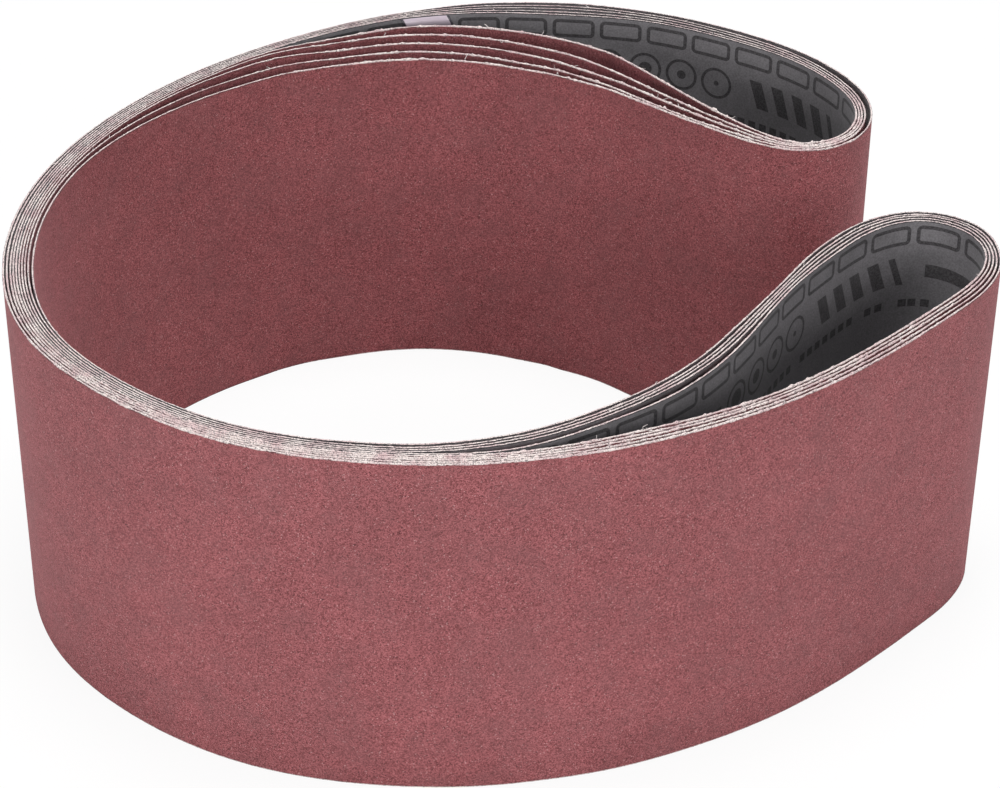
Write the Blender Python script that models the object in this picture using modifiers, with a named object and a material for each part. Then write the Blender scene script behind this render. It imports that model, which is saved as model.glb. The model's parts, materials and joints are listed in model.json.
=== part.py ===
"""Five endless cloth sanding belts, nested one inside the other and folded into a C, as they are packed.

The belts stand on one edge. Each is a closed loop of coated cloth, grit outwards, spliced on the slant and
taped over the splice on its bare side. Belt 1 is the innermost. Metres, +Z up, and the origin lies on the
ground under the middle of the folded pack.
"""
import math

import bmesh
import bpy
import numpy as np

MM = 0.001

# Driving sizes of one belt. The length is that of belt 1, round the middle of its cloth.
BELT_LENGTH = 2027 * MM
BELT_WIDTH = 150 * MM
BELT_THICKNESS = 0.8 * MM

# Least gap between two layers that lie together.
CLEARANCE = 0.3 * MM

# The tape over each splice: its width square to its length, and how far it leans from upright.
TAPE_WIDTH = 20 * MM
TAPE_THICKNESS = 0.2 * MM
TAPE_LEAN = math.radians(25)
TAPE_EDGE_MARGIN = 0.5 * MM

# How closely the facets follow the curves.
CHORD_ERROR = 0.08 * MM
LONGEST_FACET = 12 * MM
FLAT_STEP = 22 * MM
TAPE_COLUMNS = 4
TAPE_ROWS = 14
# The step over which a direction is taken along the path.
NUDGE = 0.05 * MM

# Plan of the fold as drawn, in millimetres, anticlockwise; BELT_LENGTH sets the size that it is made. A row is a
# point on the bare face of belt 1, then the slack between belts 1 and 2, 2 and 3, 3 and 4, 4 and 5 at that point,
# over the clearance that layers always keep. The outer wall runs from the nose of the back eye over the top and
# round the left to the front eye.
OUTER_WALL = (
    (148.0, 80.0, 0.2, 0.0, 0.2, 1.7),
    (140.6, 103.3, 0.4, 0.1, 0.4, 2.6),
    (123.4, 124.7, 0.7, 0.4, 0.6, 2.3),
    (96.4, 143.4, 1.0, 0.8, 0.8, 2.2),
    (64.8, 158.0, 1.3, 0.9, 0.9, 1.9),
    (30.0, 163.8, 1.9, 1.5, 1.5, 2.4),
    (-5.0, 165.6, 1.3, 1.0, 1.0, 1.9),
    (-44.3, 159.6, 0.2, 0.1, 0.2, 0.3),
    (-84.2, 140.1, 0.0, 0.0, 0.0, 0.0),
    (-125.0, 108.2, 0.0, 0.0, 0.0, 0.0),
    (-159.0, 66.5, 0.0, 0.0, 0.0, 0.1),
    (-181.5, 14.2, 0.0, 0.0, 0.2, 0.3),
    (-187.0, -34.0, 0.0, 0.0, 0.3, 0.3),
    (-173.3, -91.0, 0.0, 0.0, 0.2, 0.2),
    (-137.0, -134.0, 0.0, 0.0, 0.1, 0.1),
    (-91.0, -161.0, 0.0, 0.0, 0.1, 0.1),
    (-40.0, -171.0, 0.0, 0.0, 0.3, 0.3),
    (5.3, -169.0, 0.2, 0.2, 0.2, 0.2),
    (50.5, -154.9, 0.8, 0.8, 0.8, 0.8),
    (91.8, -135.4, 0.6, 0.6, 0.6, 0.7),
    (132.0, -104.6, 0.7, 0.7, 0.7, 0.8),
    (169.2, -67.2, 0.7, 0.7, 0.7, 0.8),
    (184.8, -46.2, 0.4, 0.4, 0.4, 0.5),
)
# The front eye's inner wall, from its nose back to where belt 1 lies flat on itself.
FRONT_EYE_WALL = (
    (187.8, -32.0, 0.2, 0.2, 0.2, 0.4),
    (182.1, -17.7, 0.5, 0.5, 0.5, 0.8),
    (168.0, -10.0, 0.5, 0.5, 0.5, 0.7),
    (152.0, -14.0, 0.6, 0.6, 0.6, 0.8),
    (132.7, -31.8, 0.6, 0.6, 0.7, 1.0),
    (110.6, -61.7, 0.1, 0.1, 0.1, 0.3),
    (88.7, -100.8, 1.3, 0.4, 0.5, 0.9),
    (63.8, -132.0, 2.7, 0.4, 0.4, 0.9),
    (35.7, -152.5, 2.1, 0.5, 0.5, 0.7),
    (9.0, -166.4, 2.6, 0.5, 0.5, 0.7),
)
# The back eye's inner wall, from where belt 1 opens to the nose. The belts fan out along it.
BACK_EYE_WALL = (
    (-74.8, 140.2, 3.0, 5.7, 5.9, 5.6),
    (-48.3, 150.6, 5.5, 6.6, 6.7, 6.4),
    (-18.0, 153.4, 7.7, 7.5, 6.7, 5.8),
    (16.3, 145.7, 9.6, 7.2, 7.1, 4.1),
    (43.6, 131.5, 10.1, 7.2, 4.9, 3.7),
    (67.0, 106.2, 7.3, 3.9, 4.4, 1.4),
    (84.0, 85.2, 4.2, 2.6, 3.8, 0.6),
    (104.2, 63.5, 1.2, 1.4, 1.6, 1.2),
    (124.5, 51.9, 0.2, 0.2, 0.3, 0.7),
    (140.0, 58.6, 0.1, 0.0, 0.2, 1.1),
)
# Between the eyes belt 1 lies flat on itself. A row is a distance along the outer wall from the back eye's
# nose, in millimetres, and the slack of the inner wall's layers there.
FLAT_WALL = (
    (277, 1.9, 4.7, 6.6, 6.3),
    (305, 0.7, 2.6, 6.4, 6.2),
    (330, 0.2, 1.1, 5.0, 5.3),
    (355, 0.1, 0.3, 3.6, 4.1),
    (380, 0.0, 0.0, 2.2, 2.8),
    (405, 0.0, 0.0, 0.9, 1.6),
    (430, 0.0, 0.0, 0.2, 0.9),
    (500, 0.0, 0.0, 0.2, 0.6),
    (560, 0.0, 0.0, 0.0, 0.0),
    (650, 0.0, 0.0, 0.0, 0.1),
    (707, 0.0, 0.0, 0.3, 0.7),
)
# The rows of the outer wall between which belt 1 lies flat, counted from the nose of the back eye.
FLAT_FIRST_ROW = 8
FLAT_LAST_ROW = 16

# Where the middle of each belt's splice lies: millimetres along the fold from the nose of the back eye.
SPLICE_PLACES = (185, 1850, 1825, 1790, 85)
BELT_COUNT = len(SPLICE_PLACES)


def spline(knots, points, closed):
    """The curve of least bending through the points: a function from a distance to a place on it."""
    count = len(points)
    span = np.diff(knots)
    matrix = np.eye(count)
    rise = np.zeros(points.shape)
    for i in range(0 if closed else 1, count if closed else count - 1):
        after = (i + 1) % count
        matrix[i] = 0
        matrix[i, i - 1] += span[i - 1]
        matrix[i, i] += 2 * (span[i - 1] + span[i])
        matrix[i, after] += span[i]
        rise[i] = 6 * ((points[after] - points[i]) / span[i] - (points[i] - points[i - 1]) / span[i - 1])
    bend = np.linalg.solve(matrix, rise)

    def place(distance):
        i = np.clip(np.searchsorted(knots, distance, side="right") - 1, 0, len(span) - 1)
        after = (i + 1) % count
        share = ((distance - knots[i]) / span[i])[:, None]
        rest = 1 - share
        square = (span[i] ** 2)[:, None] / 6
        straight = rest * points[i] + share * points[after]
        return straight + square * ((rest**3 - rest) * bend[i] + (share**3 - share) * bend[after])

    return place


def eased(knots, values, distance):
    """The values carried smoothly from knot to knot round the loop, never past either neighbour."""
    span = np.diff(knots)[:, None]
    rise = (np.roll(values, -1, axis=0) - values) / span
    rise_before = np.roll(rise, 1, axis=0)
    span_before = np.roll(span, 1, axis=0)
    same_way = rise * rise_before > 0
    near = 2 * span + span_before
    far = span + 2 * span_before
    mean = (near + far) / (near / np.where(same_way, rise_before, 1) + far / np.where(same_way, rise, 1))
    slope = np.where(same_way, mean, 0)
    i = np.clip(np.searchsorted(knots, distance, side="right") - 1, 0, len(values) - 1)
    after = (i + 1) % len(values)
    share = ((distance - knots[i]) / (knots[i + 1] - knots[i]))[:, None]
    rest = 1 - share
    level = values[i] * (1 + 2 * share) * rest**2 + values[after] * (1 + 2 * rest) * share**2
    return level + span[i] * share * rest * (slope[i] * rest - slope[after] * share)


def lengths_along(points, closed):
    """The distance from the first point to each one, and on a closed loop back to the first."""
    if closed:
        points = np.vstack([points, points[:1]])
    steps = np.linalg.norm(np.diff(points, axis=0), axis=1)
    return np.concatenate([[0], np.cumsum(steps)])


def outward_of(place, distance, around=None):
    """Unit vectors square to the curve, on its right-hand side, which is the outside of the fold."""
    ahead = distance + NUDGE
    behind = distance - NUDGE
    if around:
        ahead, behind = ahead % around, behind % around
    step = place(ahead) - place(behind)
    step /= np.linalg.norm(step, axis=1)[:, None]
    return np.column_stack([step[:, 1], -step[:, 0]])


def corners(table, scale):
    """The rows of a table in metres, with their places drawn to this scale and their slack as it is given."""
    rows = np.array(table) * MM
    rows[:, :2] *= scale
    return rows


class Fold:
    """The folded path that every belt follows, and how far each belt stands out from it."""

    def __init__(self, scale=1):
        self.scale = scale
        rows = self.rows()
        self.knots = lengths_along(rows[:, :2], closed=True)
        self.length = self.knots[-1]
        self.place = spline(self.knots, rows[:, :2], closed=True)
        self.slack = rows[:, 2:]
        self.centre = np.zeros(2)
        outline = self.at(self.stations(), BELT_COUNT - 1, BELT_THICKNESS)
        self.centre = (outline.min(axis=0) + outline.max(axis=0)) / 2

    def rows(self):
        """All the corners in order, with the flat stretch worked out from the outer wall beside it."""
        outer = corners(OUTER_WALL, self.scale)
        knots = lengths_along(outer[:, :2], closed=False)
        place = spline(knots, outer[:, :2], closed=False)
        start, end = knots[FLAT_LAST_ROW], knots[FLAT_FIRST_ROW]
        stations = np.linspace(start, end, round((start - end) / FLAT_STEP), endpoint=False)
        flat = place(stations) - outward_of(place, stations) * CLEARANCE
        given = np.array(FLAT_WALL) * MM
        slack = [np.interp(stations, given[:, 0] * self.scale, column) for column in given.T[1:]]
        flat = np.column_stack([flat, *slack])
        front_eye = corners(FRONT_EYE_WALL, self.scale)
        back_eye = corners(BACK_EYE_WALL, self.scale)
        return np.vstack([outer, front_eye, flat, back_eye])

    def stations(self):
        """Distances round the fold, closer together where it bends more."""
        fine = np.arange(0, self.length, MM)
        outward = outward_of(self.place, fine, self.length)
        turn = np.linalg.norm(np.roll(outward, -1, axis=0) - np.roll(outward, 1, axis=0), axis=1) / (2 * MM)
        turn = (np.roll(turn, 3) + turn + np.roll(turn, -3)) / 3
        facets = np.cumsum(np.maximum(np.sqrt(turn / (8 * CHORD_ERROR)), 1 / LONGEST_FACET) * MM)
        count = math.ceil(facets[-1])
        return np.interp(np.arange(count) / count * facets[-1], facets, fine)

    def standing_out(self, belt, distance):
        """How far the bare face of a belt, counted from 0, lies outside the bare face of belt 1."""
        slack = eased(self.knots, self.slack, distance)[:, :belt]
        return slack.sum(axis=1) + belt * (BELT_THICKNESS + CLEARANCE)

    def at(self, distance, belt, beyond):
        """Points in plan at these distances, this far outside the bare face of the belt."""
        distance = distance % self.length
        outward = outward_of(self.place, distance, self.length)
        out = self.standing_out(belt, distance) + beyond
        return self.place(distance) + outward * out[:, None] - self.centre


def fold_for(belt_length):
    """The drawn fold, made larger or smaller so that belt 1 has this length round the middle of its cloth."""
    drawn = Fold()
    bare_face = drawn.at(drawn.stations(), 0, 0)
    wanted = belt_length - 2 * math.pi * BELT_THICKNESS / 2
    return Fold(wanted / lengths_along(bare_face, closed=True)[-1])


def material(name, colour, roughness):
    """A plain Principled material."""
    made = bpy.data.materials.new(name)
    made.use_nodes = True
    shader = made.node_tree.nodes["Principled BSDF"]
    shader.inputs["Base Color"].default_value = (*colour, 1)
    shader.inputs["Roughness"].default_value = roughness
    made.diffuse_color = (*colour, 1)
    return made


def shell(name, mesh, thickness, finish, collection):
    """An object whose open surface Solidify thickens evenly to both sides."""
    mesh.materials.append(finish)
    made = bpy.data.objects.new(name, mesh)
    collection.objects.link(made)
    solidify = made.modifiers.new("thickness", "SOLIDIFY")
    solidify.thickness = thickness
    solidify.offset = 0
    solidify.use_even_offset = True
    mesh.shade_smooth()
    mesh.set_sharp_from_angle(angle=math.radians(30))
    return made


def belt(fold, stations, number, finish, collection):
    """One endless belt: its path in plan, drawn up by the belt's width."""
    middle = fold.at(stations, number, BELT_THICKNESS / 2)
    build = bmesh.new()
    lower = [build.verts.new((x, y, 0)) for x, y in middle]
    loop = [build.edges.new((point, lower[i - 1])) for i, point in enumerate(lower)]
    drawn = bmesh.ops.extrude_edge_only(build, edges=loop)["geom"]
    raised = [item for item in drawn if isinstance(item, bmesh.types.BMVert)]
    bmesh.ops.translate(build, verts=raised, vec=(0, 0, BELT_WIDTH))
    bmesh.ops.recalc_face_normals(build, faces=build.faces)
    mesh = bpy.data.meshes.new(f"belt_{number + 1}")
    build.to_mesh(mesh)
    build.free()
    return shell(f"belt_{number + 1}", mesh, BELT_THICKNESS, finish, collection)


def splice_tape(fold, number, finish, collection):
    """The tape on the bare side of a belt, laid over its slanting splice from edge to edge."""
    build = bmesh.new()
    bmesh.ops.create_grid(build, x_segments=TAPE_COLUMNS, y_segments=TAPE_ROWS, size=0.5)
    along = np.array([point.co.x for point in build.verts]) * TAPE_WIDTH / math.cos(TAPE_LEAN)
    up = np.array([point.co.y for point in build.verts]) * (BELT_WIDTH - 2 * TAPE_EDGE_MARGIN)
    distance = SPLICE_PLACES[number] * MM * fold.scale + along + up * math.tan(TAPE_LEAN)
    plan = fold.at(distance, number, -CLEARANCE - TAPE_THICKNESS / 2)
    for point, (x, y), height in zip(build.verts, plan, up + BELT_WIDTH / 2):
        point.co = (x, y, height)
    mesh = bpy.data.meshes.new(f"splice_tape_{number + 1}")
    build.to_mesh(mesh)
    build.free()
    return shell(f"splice_tape_{number + 1}", mesh, TAPE_THICKNESS, finish, collection)


def main():
    for left_over in list(bpy.data.objects):
        bpy.data.objects.remove(left_over, do_unlink=True)
    collection = bpy.data.collections.new("sanding_belts")
    bpy.context.scene.collection.children.link(collection)
    cloth = material("resin-bonded aluminium oxide on cotton", (0.29, 0.09, 0.10), 0.85)
    film = material("splice film", (0.60, 0.56, 0.66), 0.35)
    fold = fold_for(BELT_LENGTH)
    stations = fold.stations()
    for number in range(BELT_COUNT):
        belt(fold, stations, number, cloth, collection)
        splice_tape(fold, number, film, collection)


main()
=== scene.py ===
"""The looks of a pack of five cloth sanding belts, nested in one another and folded into a C.

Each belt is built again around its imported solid: a closed strip of cloth with grit outside, bare cloth
inside and slit edges that fray, with the film over its splice. Metres, +Z up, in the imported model's frame.
"""

import json
import logging
import math
from dataclasses import dataclass, field
from enum import Enum

import bpy
import numpy as np
from bpy.types import Material, Node, NodeSocket, NodeTree, Object
from mathutils import Matrix, Vector

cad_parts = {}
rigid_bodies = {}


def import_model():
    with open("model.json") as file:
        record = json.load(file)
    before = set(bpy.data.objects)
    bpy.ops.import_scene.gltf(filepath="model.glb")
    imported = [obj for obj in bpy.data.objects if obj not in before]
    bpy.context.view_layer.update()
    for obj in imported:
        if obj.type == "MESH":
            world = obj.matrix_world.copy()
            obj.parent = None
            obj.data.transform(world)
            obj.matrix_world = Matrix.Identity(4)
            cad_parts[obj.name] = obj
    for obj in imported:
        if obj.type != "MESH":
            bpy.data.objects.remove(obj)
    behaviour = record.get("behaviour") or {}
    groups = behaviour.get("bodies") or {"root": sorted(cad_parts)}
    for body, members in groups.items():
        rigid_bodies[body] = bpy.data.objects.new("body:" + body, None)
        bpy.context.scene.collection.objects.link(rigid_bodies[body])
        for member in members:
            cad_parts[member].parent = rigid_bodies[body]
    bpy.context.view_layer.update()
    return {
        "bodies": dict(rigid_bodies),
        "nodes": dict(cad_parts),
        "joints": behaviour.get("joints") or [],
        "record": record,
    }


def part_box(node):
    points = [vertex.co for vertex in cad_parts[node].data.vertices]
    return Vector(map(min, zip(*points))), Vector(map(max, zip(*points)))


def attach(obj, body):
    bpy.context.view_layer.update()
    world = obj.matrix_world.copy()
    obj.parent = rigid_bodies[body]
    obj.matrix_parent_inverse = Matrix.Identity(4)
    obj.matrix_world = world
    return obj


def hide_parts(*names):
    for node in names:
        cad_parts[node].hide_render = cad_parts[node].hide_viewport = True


MM = 0.001
LOG = logging.getLogger("sanding_belts")

Colour = tuple[float, float, float, float]
Faces = list[list[int]]
# The middle of a stretch, and its reach either side of that.
Span = tuple[float, float]
WHITE: Colour = (1.0, 1.0, 1.0, 1.0)
# Blender's noise lies mostly between these two.
NOISE_LOW, NOISE_HIGH = 0.3, 0.7
# No thread runs this way, so it helps to find what is square to one.
ODD_DIRECTION = np.array([0.31, 0.87, 0.38])


def linear(hex_colour: str) -> Colour:
    """Turns an sRGB hex value into linear light.

    Args:
        hex_colour: A hash and six hex digits.

    Returns:
        Red, green and blue, and an alpha of 1.
    """
    shares = [int(hex_colour[place : place + 2], 16) / 255 for place in (1, 3, 5)]
    red, green, blue = (s / 12.92 if s <= 0.04045 else ((s + 0.055) / 1.055) ** 2.4 for s in shares)
    return (red, green, blue, 1.0)


def add_node(tree: NodeTree, kind: str, inputs: dict | None = None, **settings: object) -> Node:
    """Adds a node with its settings and links.

    Args:
        tree: The node tree that takes it.
        kind: The node's type, without the words ShaderNode.
        inputs: Each input by name or number, with its value or the output that feeds it.
        **settings: The node's own properties.

    Returns:
        The new node.
    """
    node = tree.nodes.new("ShaderNode" + kind)
    for name, value in settings.items():
        setattr(node, name, value)
    for socket, value in (inputs or {}).items():
        if isinstance(value, NodeSocket):
            tree.links.new(value, node.inputs[socket])
        else:
            node.inputs[socket].default_value = value
    return node


def seen(tree: NodeTree) -> NodeSocket:
    """Tells what the camera sees, also in a gloss or through glass, from what only throws light.

    Args:
        tree: The node tree that takes it.

    Returns:
        The output that is 1 for what is seen.
    """
    rays = add_node(tree, "LightPath").outputs
    shown = rays["Is Camera Ray"]
    for ray in ("Is Glossy Ray", "Is Transmission Ray"):
        shown = add_node(tree, "Math", {0: shown, 1: rays[ray]}, operation="MAXIMUM").outputs[0]
    return shown


class Finish:
    """What all finishes share: a named material whose Principled shader takes the pattern."""

    name = "finish"
    roughness = 0.5

    def begin(self, levels: dict[str, float | Colour]) -> tuple[Material, NodeTree, Node]:
        """Makes the material.

        Args:
            levels: The shader's sockets that are the same all over the surface, by name.

        Returns:
            The material, its node tree and its Principled shader.
        """
        made = bpy.data.materials.new(self.name)
        made.use_nodes = True
        tree = made.node_tree
        shader = tree.nodes["Principled BSDF"]
        shader.inputs["Roughness"].default_value = self.roughness
        for socket, level in levels.items():
            shader.inputs[socket].default_value = level
        return made, tree, shader

    def cloud(self, tree: NodeTree, place: NodeSocket, size: float, depth: float) -> NodeSocket:
        """A soft uneven tone.

        Args:
            tree: The node tree that takes it.
            place: The coordinates, in metres.
            size: How far apart the patches lie, in metres.
            depth: How far the tone goes either side of 1.

        Returns:
            The output that holds the tone.
        """
        noise = add_node(tree, "TexNoise", {"Vector": place, "Scale": 1 / size, "Detail": 2.0}).outputs[0]
        limits = {"From Min": NOISE_LOW, "From Max": NOISE_HIGH, "To Min": 1 - depth, "To Max": 1 + depth}
        return add_node(tree, "MapRange", {"Value": noise, **limits}).outputs[0]


@dataclass(frozen=True)
class CoatedGrit(Finish):
    """Resin-bonded aluminium oxide on cloth, the grains electrostatically sown.

    Brown-red and matt. Each grain has a tone of its own, a few carry a painted highlight where a face would
    turn to the light, and the resin coat is uneven over a few centimetres. At a grazing angle the grain tips
    pale the surface.
    """

    name: str = "resin-bonded aluminium oxide"
    dark_grain: str = "#6f393b"
    pale_grain: str = "#b46d71"
    # Painted highlight: the pale colour given to the few grains that would turn a face to the light.
    painted_glint: str = "#c29293"
    pore: str = "#5a3235"
    # Resin that lies thick over the grains is browner and duller.
    thick_resin: str = "#85595b"
    joint_line: str = "#4a2729"
    # Grit 80 has grains of about 0.2 mm. They are drawn about twice as coarse, so that they show.
    grain: float = 0.38 * MM
    grain_relief: float = 0.12 * MM
    # The share of grains that carry the painted highlight.
    painted_glint_share: float = 0.014
    pore_share: float = 0.04
    patch: float = 7 * MM
    patch_depth: float = 0.06
    band: float = 45 * MM
    band_depth: float = 0.06
    resin_patch: float = 15 * MM
    resin_limits: tuple[float, float] = (0.42, 0.68)
    resin_cover: float = 0.3
    roughness: float = 0.78
    specular: float = 0.2
    sheen: float = 0.3
    sheen_roughness: float = 0.45
    sheen_tint: str = "#cf9da2"
    # The ends of the cloth meet in a slanting butt joint, a fine dark line that is filled with resin.
    joint_lean: float = 0.0
    joint_width: float = 0.5 * MM
    belt_width: float = 150 * MM
    belt_length: float = 2027 * MM

    def build(self) -> Material:
        """Builds the material.

        Returns:
            The material.
        """
        levels = {"Sheen Weight": self.sheen, "Sheen Roughness": self.sheen_roughness}
        levels |= {"Sheen Tint": linear(self.sheen_tint), "Specular IOR Level": self.specular}
        made, tree, shader = self.begin(levels)
        place = add_node(tree, "TexCoord").outputs["Object"]
        grains = add_node(tree, "TexVoronoi", {"Vector": place, "Scale": 1 / self.grain}).outputs
        chance = add_node(tree, "SeparateColor", {"Color": grains["Color"]}).outputs
        # Painted highlight: a few random grains take the pale glint colour.
        glint_mask = add_node(tree, "Math", {0: chance[1], 1: 1 - self.painted_glint_share}, operation="GREATER_THAN")
        pores = add_node(tree, "Math", {0: chance[2], 1: self.pore_share}, operation="LESS_THAN")
        noise = add_node(tree, "TexNoise", {"Vector": place, "Scale": 1 / self.resin_patch, "Detail": 3.0})
        low, high = self.resin_limits
        limits = {"From Min": low, "From Max": high, "To Max": self.resin_cover}
        resin = add_node(tree, "MapRange", {"Value": noise.outputs[0], **limits})
        covers = (
            (chance[0], self.pale_grain),
            (glint_mask.outputs[0], self.painted_glint),
            (pores.outputs[0], self.pore),
            (resin.outputs[0], self.thick_resin),
        )
        tone = linear(self.dark_grain)
        for share, colour in covers:
            mixed = {0: share, 6: tone, 7: linear(colour)}
            tone = add_node(tree, "Mix", mixed, data_type="RGBA").outputs[2]
        patches = self.cloud(tree, place, self.patch, self.patch_depth)
        bands = self.cloud(tree, place, self.band, self.band_depth)
        level = add_node(tree, "Math", {0: patches, 1: bands}, operation="MULTIPLY").outputs[0]
        tone = add_node(tree, "VectorMath", {0: tone, "Scale": level}, operation="SCALE").outputs[0]
        mixed = {0: self.joint(tree), 6: tone, 7: linear(self.joint_line)}
        tone = add_node(tree, "Mix", mixed, data_type="RGBA").outputs[2]
        bump = add_node(tree, "Bump", {"Height": grains["Distance"], "Distance": self.grain_relief})
        tree.links.new(tone, shader.inputs["Base Color"])
        tree.links.new(bump.outputs[0], shader.inputs["Normal"])
        return made

    def joint(self, tree: NodeTree) -> NodeSocket:
        """The joint of the splice.

        Args:
            tree: The node tree that takes it.

        Returns:
            The output that is 1 on the joint.
        """
        face = add_node(tree, "UVMap", uv_map="face").outputs[0]
        split = add_node(tree, "SeparateXYZ", {0: face})
        slant = {0: split.outputs[1], 1: -self.joint_lean, 2: self.joint_lean * self.belt_width / 2 / MM}
        slant = add_node(tree, "Math", slant, operation="MULTIPLY_ADD").outputs[0]
        along = add_node(tree, "Math", {0: split.outputs[0], 1: slant}, operation="ADD").outputs[0]
        off = {0: along, 1: self.belt_length / 2 / MM}
        off = add_node(tree, "Math", off, operation="PINGPONG").outputs[0]
        near = {0: off, 1: self.joint_width / 2 / MM}
        return add_node(tree, "Math", near, operation="LESS_THAN").outputs[0]


@dataclass(frozen=True)
class RunMarks:
    """The plain marks printed on the bare side. Every size is in millimetres."""

    belt_width: float = 150.0
    # The marks come again after this much of the belt. Twelve repeats go round it.
    repeat: float = 2027.0 / 12
    # Framed bars, 18.8 x 8.8 mm, in a row by each edge. The halves leave out their round corners.
    frames_each_repeat: int = 8
    frame_row: float = 68.5
    frame_half_length: float = 7.0
    frame_half_height: float = 2.0
    frame_line: Span = (1.6, 0.8)
    # Four rings of 15 mm, with a dot that grows from ring to ring. They share a row with the next two marks.
    main_row: float = 52.0
    rings_start: float = 62.0
    ring_pitch: float = 17.0
    ring_line: Span = (6.8, 0.65)
    ring_numbers: Span = (1.5, 2.0)
    dot_radius: float = 1.2
    dot_growth: float = 0.9
    # Five slanted strokes, the first one narrow.
    stroke_slant: float = 0.35
    stroke_pitch: float = 11.0
    stroke_width: Span = (5.0, 3.0)
    stroke_height: Span = (0.0, 6.5)
    strokes_length: Span = (30.5, 25.5)
    # A plain bar.
    bar_length: Span = (148.0, 15.0)
    bar_height: Span = (0.0, 3.0)
    # An arrow along the middle, which shows which way the belt runs.
    shaft_length: Span = (56.0, 36.0)
    shaft_half_height: float = 1.6
    head_length: Span = (100.0, 8.0)
    head_slope: float = 0.55
    # Short dashes in a broken row.
    dash_height: Span = (36.75, 1.75)
    dash_pitch: float = 5.5
    dash_share: Span = (0.425, 0.325)
    dashes_missing: float = 0.35

    def ink(self, tree: NodeTree, face: NodeSocket) -> NodeSocket:
        """Draws the marks.

        Args:
            tree: The node tree that takes them.
            face: The distance along the belt and the height across it, in millimetres.

        Returns:
            The output that is 1 on ink and 0 on bare cloth.
        """
        split = add_node(tree, "SeparateXYZ", {0: face}).outputs
        half_frame = self.repeat / self.frames_each_repeat / 2
        # Each step's result, its operation, and the results and numbers that it takes.
        steps = (
            ("along", "FLOORED_MODULO", "distance", self.repeat),
            ("off", "SUBTRACT", "height", self.belt_width / 2),
            ("off", "ABSOLUTE", "off"),
            ("row", "SUBTRACT", "off", self.main_row),
            ("x", "PINGPONG", "along", half_frame),
            ("x", "SUBTRACT", half_frame - self.frame_half_length, "x"),
            ("x", "MAXIMUM", "x", 0.0),
            ("x", "MULTIPLY", "x", "x"),
            ("y", "SUBTRACT", "off", self.frame_row),
            ("y", "ABSOLUTE", "y"),
            ("y", "SUBTRACT", "y", self.frame_half_height),
            ("y", "MAXIMUM", "y", 0.0),
            ("corner", "MULTIPLY_ADD", "y", "y", "x"),
            ("corner", "SQRT", "corner"),
            ("frames", "COMPARE", "corner", *self.frame_line),
            ("place", "SUBTRACT", "along", self.rings_start),
            ("place", "DIVIDE", "place", self.ring_pitch),
            ("number", "FLOOR", "place"),
            ("x", "FRACT", "place"),
            ("x", "MULTIPLY_ADD", "x", self.ring_pitch, -self.ring_pitch / 2),
            ("x", "MULTIPLY", "x", "x"),
            ("radius", "MULTIPLY_ADD", "row", "row", "x"),
            ("radius", "SQRT", "radius"),
            ("dot", "MULTIPLY_ADD", "number", self.dot_growth, self.dot_radius),
            ("dot", "LESS_THAN", "radius", "dot"),
            ("rings", "COMPARE", "radius", *self.ring_line),
            ("rings", "MAXIMUM", "rings", "dot"),
            ("four", "COMPARE", "number", *self.ring_numbers),
            ("slanted", "MULTIPLY_ADD", "row", -self.stroke_slant, "along"),
            ("place", "FLOORED_MODULO", "slanted", self.stroke_pitch),
            ("strokes", "COMPARE", "place", *self.stroke_width),
            ("stroke_height", "COMPARE", "row", *self.stroke_height),
            ("five", "COMPARE", "slanted", *self.strokes_length),
            ("bar", "COMPARE", "along", *self.bar_length),
            ("bar_height", "COMPARE", "row", *self.bar_height),
            ("shaft", "COMPARE", "along", *self.shaft_length),
            ("shaft_height", "LESS_THAN", "off", self.shaft_half_height),
            ("head", "COMPARE", "along", *self.head_length),
            ("slope", "MULTIPLY_ADD", "along", -self.head_slope, self.head_slope * sum(self.head_length)),
            ("head_height", "LESS_THAN", "off", "slope"),
            ("place", "DIVIDE", "along", self.dash_pitch),
            ("dash_number", "FLOOR", "place"),
            ("place", "FRACT", "place"),
            ("dashes", "COMPARE", "place", *self.dash_share),
            ("dash_height", "COMPARE", "off", *self.dash_height),
        )
        made: dict[str, NodeSocket] = {"distance": split[0], "height": split[1]}
        for result, operation, *taken in steps:
            inputs = {k: made.get(value, value) for k, value in enumerate(taken)}
            made[result] = add_node(tree, "Math", inputs, operation=operation).outputs[0]
        chance = add_node(tree, "TexWhiteNoise", {"W": made["dash_number"]}, noise_dimensions="1D")
        kept = {0: chance.outputs[0], 1: self.dashes_missing}
        made["kept"] = add_node(tree, "Math", kept, operation="GREATER_THAN").outputs[0]
        ink = made["frames"]
        for mark, *limits in (
            ("rings", "four"),
            ("strokes", "stroke_height", "five"),
            ("bar", "bar_height"),
            ("shaft", "shaft_height"),
            ("head", "head_height"),
            ("dashes", "dash_height", "kept"),
        ):
            drawn = made[mark]
            for limit in limits:
                drawn = add_node(tree, "Math", {0: drawn, 1: made[limit]}, operation="MULTIPLY").outputs[0]
            ink = add_node(tree, "Math", {0: ink, 1: drawn}, operation="MAXIMUM").outputs[0]
        return ink


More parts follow.
